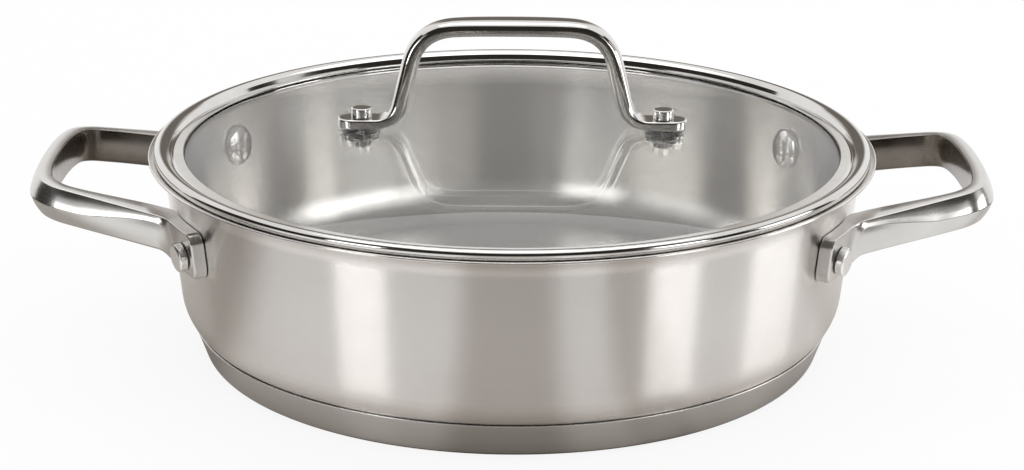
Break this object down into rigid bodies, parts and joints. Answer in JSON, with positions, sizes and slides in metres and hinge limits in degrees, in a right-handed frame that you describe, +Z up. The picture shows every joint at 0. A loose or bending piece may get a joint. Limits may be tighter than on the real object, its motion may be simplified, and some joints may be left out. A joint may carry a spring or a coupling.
{
  "type": "casserole pot with lid",
  "caption": "Low brushed-steel casserole with cast loop handles riveted to its wall, a flat encapsulated base and a domed glass lid with a steel rim and strap handle, which lifts off.",
  "frame": {"origin": "centre of the base underside, on the table", "axes": "+Z up along the axis of the pot, +X along the line through both side handles, -Y towards the viewer of the picture"},
  "size_m": [0.3342, 0.2538, 0.1169],
  "materials": {
    "body_steel": "fine circumferential brushing",
    "polished_steel": "mirror polished",
    "base_steel": "turned satin",
    "core_aluminium": "plain, hidden",
    "lid_glass": "clear tempered",
    "silicone": "matte silicone"
  },
  "bodies": {
    "pot": {"pot_body": "body_steel", "base_core": "core_aluminium", "base_cap": "base_steel", "left_handle": "polished_steel", "right_handle": "polished_steel", "front_left_rivet": "polished_steel", "front_right_rivet": "polished_steel", "rear_left_rivet": "polished_steel", "rear_right_rivet": "polished_steel"},
    "lid": {"lid_glass": "lid_glass", "lid_rim": "polished_steel", "lid_handle": "polished_steel", "left_lid_nut": "polished_steel", "left_lid_screw": "polished_steel", "left_upper_gasket": "silicone", "left_lower_gasket": "silicone", "left_lower_washer": "polished_steel", "right_lid_nut": "polished_steel", "right_lid_screw": "polished_steel", "right_upper_gasket": "silicone", "right_lower_gasket": "silicone", "right_lower_washer": "polished_steel"}
  },
  "joints": [
    {"name": "lid_lift", "type": "slide", "parent": "pot", "child": "lid", "axis": [0, 0, 1], "range_m": [0, 0.12]}
  ]
}
